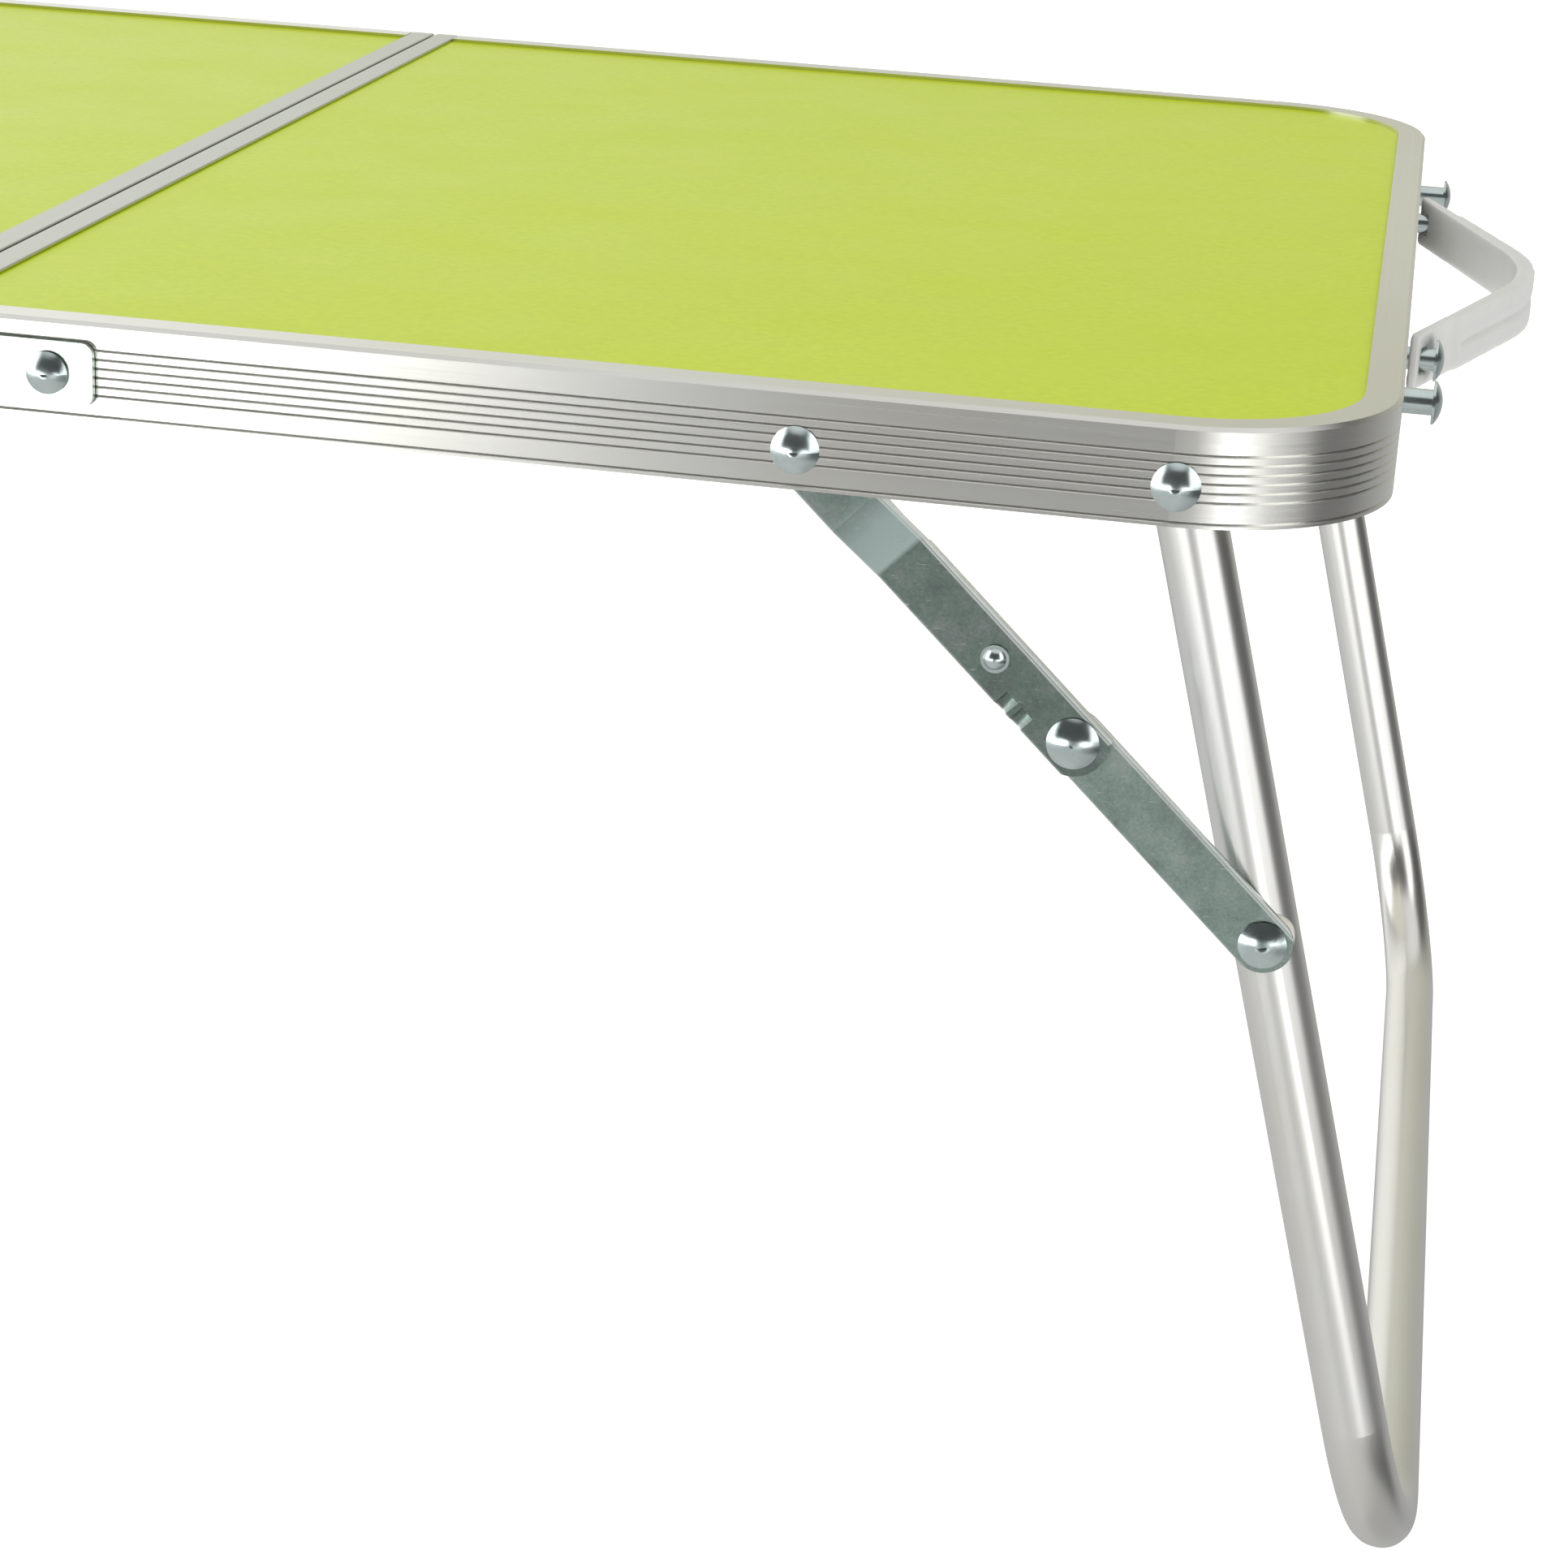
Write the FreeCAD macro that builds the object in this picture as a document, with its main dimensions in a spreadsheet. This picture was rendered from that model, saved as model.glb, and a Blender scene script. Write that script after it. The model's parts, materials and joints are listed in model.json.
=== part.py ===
import FreeCAD, Part
import Sketcher
import math
import os

# A small folding picnic table. Two framed half tops are joined by double-pivot plates and close like
# a suitcase. A U-shaped tube under each half swings down on two rivets, and a two-link brace on each
# side holds it. Millimetres. +Z is up and the floor is z = 0. X runs along the table, with the carry
# handle at the +X end and the seam between the halves at x = 0. The front long side faces -Y.

V = FreeCAD.Vector
FRONT = V(0, -1, 0)
doc = FreeCAD.newDocument("folding_picnic_table")
sheet = doc.addObject("Spreadsheet::Sheet", "dims")

DIMENSIONS = (
    ("top_height", 262, "floor to the rim of the top"),
    ("half_length", 300, "seam to the end of one half"),
    ("top_width", 400, "front face to back face"),
    ("seam_gap", 0.8, "between the two halves"),
    ("end_bevel", 3.2, "bevel under the rail ends, so that the halves clear as they fold"),
    ("corner_radius", 42, "outer corner of the frame in plan"),
    ("rail_height", 20, "frame rail, top to bottom"),
    ("rail_wall", 1.2, "frame rail wall"),
    ("lip_width", 7.5, "lip over the board's edge"),
    ("lip_thick", 0.9, "lip thickness"),
    ("edge_round", 0.8, "bevel along the rail's top edge"),
    ("ledge_width", 5.5, "shelf under the board, from the outer face"),
    ("ledge_thick", 1, "shelf thickness"),
    ("groove_first", 5.6, "top of the rail to the middle of the first groove"),
    ("groove_pitch", 1.85, "groove spacing"),
    ("groove_depth", 0.3, "groove depth"),
    ("groove_width", 0.6, "groove width"),
    ("board_thick", 3, "laminated board"),
    ("board_play", 0.2, "gap round the board"),
    ("strip_width", 6.8, "seam strip over the board's edge"),
    ("strip_web", 0.8, "seam strip wall"),
    ("strip_flange", 5, "seam strip flange under the board"),
    ("hinge_reach", 33, "seam to a hinge rivet"),
    ("hinge_depth", 10.5, "rim down to a hinge rivet"),
    ("hinge_half", 42.5, "half the hinge plate's length"),
    ("hinge_tall", 13.2, "hinge plate height"),
    ("hinge_thick", 1.3, "hinge plate thickness"),
    ("hinge_corner", 2.5, "hinge plate corner radius"),
    ("plate_gap", 0.3, "free play between two moving faces"),
    ("leg_reach", 259, "seam to a leg rivet"),
    ("leg_depth", 12, "rim down to a leg rivet"),
    ("leg_tilt", 15, "leg outward from upright, in degrees"),
    ("leg_offset", 184.7, "middle of the table to the middle of a leg tube"),
    ("tube_radius", 7, "leg tube outside"),
    ("tube_bore", 6, "leg tube inside"),
    ("bend_radius", 40, "leg tube bend, on its centre line"),
    ("tube_over", 3, "tube past its pivot"),
    ("brace_reach", 74, "leg rivet to the brace's rivet on the rail"),
    ("brace_on_leg", 97.5, "leg rivet to the brace's rivet on the leg"),
    ("link_half", 6.2, "half a brace link's width"),
    ("link_nose", 7, "radius of an upper link's end, round the middle rivet"),
    ("link_thick", 1.2, "brace link thickness"),
    ("upper_face", 196.1, "outer face of an upper link's long part"),
    ("upper_root_face", 198.5, "outer face of an upper link at the rail"),
    ("joggle_start", 17, "rail rivet to the start of the offset bend"),
    ("joggle_end", 30, "rail rivet to the end of the offset bend"),
    ("flange_start", 12, "rail rivet to the start of the turned edge"),
    ("flange_deep", 0.9, "turned edge behind an upper link, past its offset bend"),
    ("flange_past", 5, "turned edge past the middle rivet"),
    ("dent_radius", 2.2, "radius of the two dents pressed into an upper link's edge"),
    ("dent_deep", 0.7, "how deep the dents are"),
    ("lower_face", 193.7, "outer face of a lower link"),
    ("leg_head", 1.6, "head of the rivet that pins a lower link to the leg"),
    ("shank_radius", 2.5, "rivet shank"),
    ("shank_play", 0.05, "radial play of a rivet in its hole"),
    ("end_depth", 10.05, "rim down to the hardware on the end rails"),
    ("stud_offset", 120, "middle of the table to a latch stud"),
    ("stud_neck", 6.3, "neck length of a latch stud or a handle rivet"),
    ("handle_offset", 80, "middle of the table to a handle rivet"),
    ("handle_half", 85, "half the handle's length"),
    ("handle_slope", 19.3, "handle's legs away from the end rail, in degrees"),
    ("handle_bow", 80, "outer radius of the handle's bow"),
    ("handle_low", 246, "handle's lower edge above the floor"),
    ("handle_tall", 12, "handle's height"),
    ("handle_band", 4, "handle's wall, along the table"),
    ("handle_play", 1.4, "how far the handle slides out on its rivets"),
    ("hook_thick", 1.4, "latch hook thickness"),
    ("hook_half", 5.5, "half the latch hook's width"),
)


class Size:
    """A number together with the sheet expression that gives it."""

    def __init__(self, value, text):
        self.value = value
        self.text = text

    def __add__(self, other):
        return Size(self.value + number(other), f"({self.text} + {words(other)})")

    def __radd__(self, other):
        return Size(number(other) + self.value, f"({words(other)} + {self.text})")

    def __sub__(self, other):
        return Size(self.value - number(other), f"({self.text} - {words(other)})")

    def __rsub__(self, other):
        return Size(number(other) - self.value, f"({words(other)} - {self.text})")

    def __mul__(self, other):
        return Size(self.value * number(other), f"({self.text} * {words(other)})")

    def __rmul__(self, other):
        return Size(number(other) * self.value, f"({words(other)} * {self.text})")

    def __truediv__(self, other):
        return Size(self.value / number(other), f"({self.text} / {words(other)})")

    def __neg__(self):
        return Size(-self.value, f"(0 - {self.text})")


def number(size):
    return size.value if isinstance(size, Size) else size


def words(size):
    return size.text if isinstance(size, Size) else f"({size})"


class Dims:
    """The driving dimensions as attributes."""


d = Dims()
for row, (alias, value, meaning) in enumerate(DIMENSIONS, start=1):
    sheet.set(f"A{row}", alias)
    sheet.set(f"B{row}", str(value))
    sheet.set(f"C{row}", meaning)
    sheet.setAlias(f"B{row}", alias)
    setattr(d, alias, Size(float(value), f"dims.{alias}"))
doc.recompute()

half_width = d.top_width / 2
rail_bottom = d.top_height - d.rail_height
board_top = d.top_height - d.lip_thick
board_bottom = board_top - d.board_thick
ledge_bottom = board_bottom - d.ledge_thick
wall_inside = half_width - d.rail_wall
hinge_height = d.top_height - d.hinge_depth
leg_height = d.top_height - d.leg_depth
end_height = d.top_height - d.end_depth
brace_x = d.leg_reach - d.brace_reach
hole_radius = d.shank_radius + d.shank_play
upper_back = d.upper_face - d.link_thick
shoulder_face = upper_back - d.flange_deep
lower_back = d.lower_face - d.link_thick

# The brace is straight when the leg is down, and folds flat on itself when the leg is stowed. Those
# two states give the lengths of its links.
tilt = math.radians(number(d.leg_tilt))
span_words = (
    f"sqrt({words(d.brace_reach)}^2 + {words(d.brace_on_leg)}^2"
    f" + 2 * {words(d.brace_reach)} * {words(d.brace_on_leg)} * sin({words(d.leg_tilt)}))"
)
span_square = number(d.brace_reach) ** 2 + number(d.brace_on_leg) ** 2
span_square += 2 * number(d.brace_reach) * number(d.brace_on_leg) * math.sin(tilt)
brace_span = Size(math.sqrt(span_square), span_words)
upper_length = (brace_span + d.brace_on_leg - d.brace_reach) / 2
lower_length = brace_span - upper_length
leg_drop = leg_height - d.tube_radius
leg_length = Size(
    number(leg_drop) / math.cos(tilt), f"({words(leg_drop)} / cos({words(d.leg_tilt)}))"
)

subparts = []


def bind(item, name, size):
    """Give a property its value, through the sheet where it has an expression."""
    if isinstance(size, Size):
        item.setExpression(name, size.text)
    else:
        setattr(item, name, size)


def stand(item, x, y, z, rotation=None):
    """Place a primitive, each coordinate tied to the sheet."""
    item.Placement = FreeCAD.Placement(
        V(number(x), number(y), number(z)), rotation or FreeCAD.Rotation()
    )
    for axis, size in (("x", x), ("y", y), ("z", z)):
        if isinstance(size, Size):
            item.setExpression(f"Placement.Base.{axis}", size.text)
    return item


def box(x0, x1, y0, y1, z0, z1):
    item = doc.addObject("Part::Box", "block")
    bind(item, "Length", x1 - x0)
    bind(item, "Width", y1 - y0)
    bind(item, "Height", z1 - z0)
    return stand(item, x0, y0, z0)


TURNS = {
    "x": FreeCAD.Rotation(V(0, 1, 0), 90),
    "y": FreeCAD.Rotation(V(1, 0, 0), -90),
    "z": FreeCAD.Rotation(),
}


def rod(axis, radius, start, length):
    """A cylinder from the point start along +axis."""
    item = doc.addObject("Part::Cylinder", "rod")
    bind(item, "Radius", radius)
    bind(item, "Height", length)
    return stand(item, *start, TURNS[axis])


def fuse(*items):
    item = doc.addObject("Part::MultiFuse", "joined")
    item.Shapes = list(items)
    item.Refine = True
    return item


def cut(base, *tools):
    item = doc.addObject("Part::Cut", "cut")
    item.Base = base
    item.Tool = tools[0] if len(tools) == 1 else fuse(*tools)
    return item


def common(first, second):
    item = doc.addObject("Part::Common", "shared")
    item.Base = first
    item.Tool = second
    return item


def mirror_y(item):
    """The same piece on the other long side."""
    copy = doc.addObject("Part::Mirroring", "mirrored")
    copy.Source = item
    copy.Base = V(0, 0, 0)
    copy.Normal = V(0, 1, 0)
    return copy


def group(*items):
    item = doc.addObject("Part::Compound", "set")
    item.Links = list(items)
    return item


def keep(label, item):
    """Name a finished sub-part, which is then written to a file of that name."""
    item.Label = label
    subparts.append(item)
    return item


def placed(item, placement):
    """One copy of a piece, moved as a whole."""
    item = group(item)
    item.Placement = placement
    return item


def sketch_on(body, role, offset):
    """An empty sketch parallel to one of the body's origin planes."""
    sketch = body.newObject("Sketcher::SketchObject", "outline")
    plane = next(face for face in body.Origin.OriginFeatures if face.Role == role)
    sketch.AttachmentSupport = [(plane, "")]
    sketch.MapMode = "FlatFace"
    sketch.AttachmentOffset = FreeCAD.Placement(V(0, 0, number(offset)), FreeCAD.Rotation())
    if isinstance(offset, Size):
        sketch.setExpression("AttachmentOffset.Base.z", offset.text)
    return sketch


def polygon(sketch, points):
    """A closed outline whose corners are each tied to the sheet."""
    spots = [V(number(x), number(y), 0) for x, y in points]
    for index, spot in enumerate(spots):
        sketch.addGeometry(Part.LineSegment(spot, spots[(index + 1) % len(spots)]), False)
    for index in range(len(spots)):
        after = (index + 1) % len(spots)
        sketch.addConstraint(Sketcher.Constraint("Coincident", index, 2, after, 1))
    for index, corner in enumerate(points):
        for kind, size in zip(("DistanceX", "DistanceY"), corner):
            rule = Sketcher.Constraint(kind, -1, 1, index, 1, number(size))
            place = sketch.addConstraint(rule)
            if isinstance(size, Size):
                sketch.setExpression(f"Constraints[{place}]", size.text)


def pad(body, sketch, length, reversed_way=False, midplane=False):
    item = body.newObject("PartDesign::Pad", "pad")
    item.Profile = sketch
    item.Length = number(length)
    bind(item, "Length", length)
    item.Reversed = reversed_way
    item.SideType = "Symmetric" if midplane else "One side"
    return item


def round_edges(body, feature, radius, chosen):
    """Round the edges of a feature that the test picks."""
    doc.recompute()
    edges = feature.Shape.Edges
    names = [f"Edge{n}" for n, edge in enumerate(edges, start=1) if chosen(edge)]
    item = body.newObject("PartDesign::Fillet", "rounded")
    item.Base = (feature, names)
    item.Radius = number(radius)
    bind(item, "Radius", radius)
    return item


def new_body(name):
    return doc.addObject("PartDesign::Body", name)


def dome(radius, tall):
    """A shallow rivet head on z = 0, rising along +Z."""
    ball_radius = (number(radius) ** 2 + tall**2) / (2 * tall)
    ball = doc.addObject("Part::Sphere", "ball")
    ball.Radius = ball_radius
    stand(ball, 0, 0, tall - ball_radius)
    return common(ball, rod("z", radius, (0, 0, 0), tall))


def rivet(head_radius, head_tall, shank_long, tail_radius, tail_thick, rim=0.4):
    """A rivet along Z: head above z = 0, shank below it, tail disc at the bottom."""
    head = placed(dome(head_radius, head_tall - rim), FreeCAD.Placement(V(0, 0, rim), V(0, 0, 1), 0))
    pieces = [
        head,
        rod("z", head_radius, (0, 0, 0), rim),
        rod("z", d.shank_radius, (0, 0, -shank_long - 0.1), shank_long + 0.2),
    ]
    if tail_thick:
        pieces.append(rod("z", tail_radius, (0, 0, -shank_long - tail_thick), tail_thick))
    return fuse(*pieces)


def facing(direction, x, y, z):
    """The placement that turns +Z to the direction and moves the origin to the point."""
    return FreeCAD.Placement(
        V(number(x), number(y), number(z)), FreeCAD.Rotation(V(0, 0, 1), direction)
    )


# --- one half of the top, drawn as the right half -------------------------------------------------


def rail_profile(outer, inward):
    """The rail's section: lip, bevelled edge, grooved wall, bottom bead and the shelf for the board."""

    def across(depth):
        return outer + depth if inward > 0 else outer - depth

    points = [
        (across(d.lip_width), board_top),
        (across(d.lip_width), d.top_height),
        (across(d.edge_round), d.top_height),
        (across(0), d.top_height - d.edge_round),
    ]
    for groove in range(6):
        middle = d.top_height - d.groove_first - groove * d.groove_pitch
        points += [
            (across(0), middle + d.groove_width / 2),
            (across(d.groove_depth), middle),
            (across(0), middle - d.groove_width / 2),
        ]
    points += [
        (across(0), rail_bottom + 1.2),
        (across(d.groove_depth), rail_bottom + 0.9),
        (across(0), rail_bottom + 0.6),
        (across(0), rail_bottom),
        (across(d.rail_wall), rail_bottom),
        (across(d.rail_wall), ledge_bottom),
        (across(d.ledge_width), ledge_bottom),
        (across(d.ledge_width), board_bottom),
        (across(d.rail_wall), board_bottom),
        (across(d.rail_wall), board_top),
    ]
    return points


def rail_body():
    """The U-shaped rail: two long runs, two corners and the end run."""
    body = new_body("rail")
    corner_x = d.half_length - d.corner_radius
    corner_y = half_width - d.corner_radius
    side = sketch_on(body, "YZ_Plane", corner_x)
    side.AttachmentOffset.Base.x = -number(corner_y)
    side.setExpression("AttachmentOffset.Base.x", words(-corner_y))
    polygon(side, rail_profile(-d.corner_radius, 1))
    run = pad(body, side, corner_x - d.seam_gap / 2, reversed_way=True)
    doc.recompute()
    turn = body.newObject("PartDesign::Revolution", "corner")
    turn.Profile = side
    turn.ReferenceAxis = (side, ["V_Axis"])
    turn.Angle = 90
    doc.recompute()
    mirrored = body.newObject("PartDesign::Mirrored", "other_side")
    mirrored.Originals = [run, turn]
    plane = next(face for face in body.Origin.OriginFeatures if face.Role == "XZ_Plane")
    mirrored.MirrorPlane = (plane, [""])
    body.Tip = mirrored
    doc.recompute()
    end = sketch_on(body, "XZ_Plane", 0)
    polygon(end, rail_profile(d.half_length, -1))
    pad(body, end, corner_y * 2, midplane=True)
    doc.recompute()
    return body


def rail(holes_y):
    """The rail with its rivet holes and the notch that the seam strip lies in."""
    tools = [
        box(
            d.seam_gap / 2 - 1,
            d.seam_gap / 2 + d.strip_width + 0.1,
            -half_width - 1,
            half_width + 1,
            board_top,
            d.top_height + 1,
        )
    ]
    for side in (-1, 1):
        bevel = doc.addObject("Part::Box", "bevel")
        bind(bevel, "Length", (d.end_bevel + 4) * 1.42)
        bevel.Width = 8
        bevel.Height = 10
        edge_y = side * half_width - 4
        slope = FreeCAD.Rotation(V(0, 1, 0), 45)
        reach = 2 + 5 * math.sqrt(2)
        lift = 2 - 5 * math.sqrt(2)
        near = d.seam_gap / 2
        tools.append(stand(bevel, near - reach, edge_y, rail_bottom + d.end_bevel + lift, slope))
    for x, z in ((d.hinge_reach, hinge_height), (brace_x, leg_height), (d.leg_reach, leg_height)):
        tools.append(rod("y", hole_radius, (x, -half_width - 1, z), d.top_width + 2))
    for y in holes_y:
        for side in (-1, 1):
            start = (d.half_length - 2, y * side, end_height)
            tools.append(rod("x", hole_radius, start, 3))
    return cut(rail_body(), *tools)


def board():
    """The laminated board, held under the lip."""
    body = new_body("board")
    sketch = sketch_on(body, "XY_Plane", board_bottom)
    near = d.seam_gap / 2 + d.strip_web + d.board_play
    far = d.half_length - d.rail_wall - d.board_play
    side = wall_inside - d.board_play
    polygon(sketch, [(near, -side), (far, -side), (far, side), (near, side)])
    slab = pad(body, sketch, d.board_thick)
    limit = number(far) - 0.1
    round_edges(
        body,
        slab,
        d.corner_radius - d.rail_wall - d.board_play,
        lambda edge: edge.BoundBox.XMin > limit and edge.BoundBox.ZLength > 1,
    )
    doc.recompute()
    return body


def seam_strip():
    """The strip that closes the board's seam edge: a C-shaped section with a wide top."""
    near = d.seam_gap / 2
    side = half_width - d.ledge_width - 0.2
    return fuse(
        box(near, near + d.strip_width, -half_width, half_width, board_top, d.top_height),
        box(near, near + d.strip_web, -side, side, board_bottom - d.strip_web, board_top),
        box(near, near + d.strip_flange, -side, side, board_bottom - d.strip_web, board_bottom),
    )


def cleat():
    """The pressed angle inside a seam corner, held by the hinge rivet."""
    near = d.seam_gap / 2 + 1
    top = ledge_bottom - 0.1
    upright = box(near, near + 40, -wall_inside, -wall_inside + 1, rail_bottom + 2, top)
    arm = box(near, near + 11, -wall_inside, -wall_inside + 16, top - 1, top)
    hole = rod("y", hole_radius, (d.hinge_reach, -half_width, hinge_height), 5)
    return cut(fuse(upright, arm), hole)


def sleeve():
    """The nylon bush that keeps a leg tube off the rail."""
    outside = wall_inside - 0.6
    inside = d.leg_offset + d.tube_radius
    start = (d.leg_reach, -outside, leg_height)
    ring = rod("y", 5.5, start, outside - inside - d.plate_gap)
    return cut(ring, rod("y", hole_radius, (d.leg_reach, -half_width, leg_height), 20))


def side_rivet(x, z, face, head_radius, head_tall, shank_long, tail_radius, tail_thick):
    """A rivet through the front rail, its head outside."""
    item = rivet(head_radius, head_tall, shank_long, tail_radius, tail_thick)
    return placed(item, facing(FRONT, x, -face, z))


def end_rivet(y, head_radius, head_tall, stand_off, neck_radius):
    """A headed stud on the end rail: neck outside the wall, tail inside it."""
    wall = number(d.rail_wall)
    pieces = [
        rod("z", d.shank_radius, (0, 0, -wall - 1), wall + 1.5),
        rod("z", 4, (0, 0, -wall - 1.2), 1.2),
        rod("z", neck_radius, (0, 0, 0), stand_off),
        rod("z", head_radius, (0, 0, stand_off), 0.5),
        placed(dome(head_radius, head_tall - 0.5), facing(V(0, 0, 1), 0, 0, stand_off + 0.5)),
    ]
    return placed(fuse(*pieces), facing(V(1, 0, 0), d.half_length, y, end_height))


# --- leg, drawn in its own plane: x across the table, y up along the tube, origin at the pivot ----


def leg_outline(radius):
    """The U of tube as a solid bar of the given radius."""
    low = -(leg_length - d.bend_radius)
    inner = d.leg_offset - d.bend_radius
    pieces = [rod("x", radius, (-inner, -leg_length, 0), inner * 2)]
    for side, first_angle in ((1, -90), (-1, 180)):
        pieces.append(rod("y", radius, (d.leg_offset * side, low, 0), d.tube_over - low))
        bend = doc.addObject("Part::Torus", "bend")
        bind(bend, "Radius1", d.bend_radius)
        bind(bend, "Radius2", radius)
        bend.Angle3 = 90
        stand(bend, inner * side, low, 0, FreeCAD.Rotation(V(0, 0, 1), first_angle))
        pieces.append(bend)
    return fuse(*pieces)


def leg_tube():
    holes = []
    for height in (0, -d.brace_on_leg):
        start = (-half_width, height, 0)
        holes.append(rod("x", hole_radius, start, d.top_width))
    return cut(leg_outline(d.tube_radius), leg_outline(d.tube_bore), *holes)


def saddle():
    """The nylon saddle between a leg tube and its lower link."""
    outer = lower_back - d.plate_gap
    seat = rod("x", d.link_half, (-outer, -d.brace_on_leg, 0), outer - d.leg_offset - 2.3)
    tube = rod("y", d.tube_radius, (-d.leg_offset, -d.brace_on_leg - 20, 0), 40)
    hole = rod("x", hole_radius, (-half_width, -d.brace_on_leg, 0), 40)
    return cut(seat, tube, hole)


def leg_rivet():
    """The rivet that pins a lower link to the leg: head outside the link, tail inside the tube."""
    head_base = number(d.lower_face + d.plate_gap)
    inside = number(d.leg_offset - d.tube_radius)
    item = rivet(4.9, number(d.leg_head), head_base - inside, 4, 1)
    return placed(item, facing(V(-1, 0, 0), -head_base, -d.brace_on_leg, 0))


LEG_AXES = FreeCAD.Rotation(
    V(0, 1, 0),
    V(-math.sin(tilt), 0, math.cos(tilt)),
    V(math.cos(tilt), 0, math.sin(tilt)),
    "XYZ",
)
leg_place = FreeCAD.Placement(V(number(d.leg_reach), 0, number(leg_height)), LEG_AXES)

# --- brace links, drawn lying along +X with the outer face up and the origin at the first rivet ---

brace_foot_x = number(d.leg_reach) + number(d.brace_on_leg) * math.sin(tilt)
brace_foot_z = number(leg_height) - number(d.brace_on_leg) * math.cos(tilt)
brace_angle = math.atan2(brace_foot_z - number(leg_height), brace_foot_x - number(brace_x))


def link_axes(angle):
    """Axes of a link that points at the angle above +X, its outer face to the front."""
    return FreeCAD.Rotation(
        V(math.cos(angle), 0, math.sin(angle)),
        V(-math.sin(angle), 0, math.cos(angle)),
        FRONT,
        "XYZ",
    )


upper_place = FreeCAD.Placement(
    V(number(brace_x), 0, number(leg_height)), link_axes(brace_angle)
)
lower_place = FreeCAD.Placement(
    V(brace_foot_x, 0, brace_foot_z), link_axes(brace_angle + math.pi)
)


def stadium(length, low, high):
    """A round-ended strip between two heights."""
    return fuse(
        box(0, length, -d.link_half, d.link_half, low, high),
        rod("z", d.link_half, (0, 0, low), high - low),
        rod("z", d.link_half, (length, 0, low), high - low),
    )


def upper_link():
    """Flat against the rail, then offset inwards, with a turned edge and a pressed grip."""
    body = new_body("upper_link")
    sketch = sketch_on(body, "XZ_Plane", 0)
    start = -d.link_half - 1
    stop = upper_length + d.link_half + 1
    root_back = d.upper_root_face - d.link_thick
    polygon(
        sketch,
        [
            (start, root_back),
            (start, d.upper_root_face),
            (d.joggle_start, d.upper_root_face),
            (d.joggle_end, d.upper_face),
            (stop, d.upper_face),
            (stop, upper_back),
            (d.joggle_end, upper_back),
            (d.joggle_start, root_back),
        ],
    )
    pad(body, sketch, d.link_half * 2 + 2, midplane=True)
    doc.recompute()
    low = upper_back - 1
    high = d.upper_root_face + 1
    nose = common(
        rod("z", d.link_nose, (upper_length, 0, low), high - low),
        box(upper_length - 8, upper_length + 8, -d.link_half, d.link_half, low, high),
    )
    outline = fuse(
        box(0, upper_length, -d.link_half, d.link_half, low, high),
        rod("z", d.link_half, (0, 0, low), high - low),
        nose,
    )
    dents = []
    for reach in (10.4, 14.8):
        start = (upper_length - reach, -d.link_half - 1, d.upper_face + d.dent_radius - d.dent_deep)
        dents.append(rod("y", d.dent_radius, start, 4.4))
    holes = [
        rod("z", hole_radius, (0, 0, upper_back - 5), 20),
        rod("z", d.shank_radius, (upper_length, 0, upper_back - 5), 20),
        rod("z", 1.5, (upper_length - 23, 0, upper_back - 5), 20),
    ]
    return cut(fuse(common(body, outline), turned_edge()), *dents, *holes)


def turned_edge():
    """The edge of an upper link that is bent back, from under the rail to past the middle rivet.

    Up to the offset bend it clears the head of the leg rivet, which lies under it when stowed.
    """
    body = new_body("turned_edge")
    sketch = sketch_on(body, "XZ_Plane", -d.link_half)
    stop = upper_length + d.flange_past
    root_floor = d.lower_face + d.leg_head + d.plate_gap * 2
    slope = (d.joggle_end - d.joggle_start) / (d.upper_root_face - d.upper_face)
    polygon(
        sketch,
        [
            (d.flange_start, root_floor),
            (d.flange_start, d.upper_root_face),
            (d.joggle_start, d.upper_root_face),
            (d.joggle_end, d.upper_face),
            (stop, d.upper_face),
            (stop, shoulder_face),
            (d.joggle_end + 1, shoulder_face),
            (d.joggle_end + 1, upper_back),
            (d.joggle_end, upper_back),
            (d.joggle_end - (root_floor - upper_back) * slope, root_floor),
        ],
    )
    pad(body, sketch, d.link_thick)
    doc.recompute()
    return body


def upper_stop():
    """The small domed stop pin, set in the upper link."""
    item = fuse(
        placed(dome(2.3, 1.2), facing(V(0, 0, 1), 0, 0, 0.4)),
        rod("z", 2.9, (0, 0, 0), 0.4),
        rod("z", 1.5, (0, 0, -1.5), 1.6),
        rod("z", 2.2, (0, 0, -1.6), 0.4),
    )
    return placed(item, facing(V(0, 0, 1), upper_length - 23, 0, d.upper_face))


def middle_head():
    """The middle rivet's head, shank and shoulder, which stay with the upper link."""
    item = fuse(
        placed(dome(5.3, 1.7), facing(V(0, 0, 1), 0, 0, 0.4)),
        rod("z", 5.3, (0, 0, 0), 0.4),
        rod("z", d.shank_radius, (0, 0, shoulder_face - d.upper_face), 2.3),
        rod("z", 3.6, (0, 0, shoulder_face - d.upper_face), d.flange_deep),
    )
    return placed(item, facing(V(0, 0, 1), upper_length, 0, d.upper_face))


def lower_link():
    holes = [
        rod("z", hole_radius, (0, 0, lower_back - 5), 20),
        rod("z", d.shank_radius, (lower_length, 0, lower_back - 5), 20),
    ]
    return cut(stadium(lower_length, lower_back, d.lower_face), *holes)


def middle_tail():
    """The middle rivet's clenched end, which stays with the lower link."""
    item = fuse(
        rod("z", d.shank_radius, (0, 0, 0), d.link_thick),
        rod("z", 4, (0, 0, -0.5), 0.5),
    )
    return placed(item, facing(V(0, 0, 1), lower_length, 0, lower_back))


# --- hinge plates, handle and latches -------------------------------------------------------------


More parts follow.
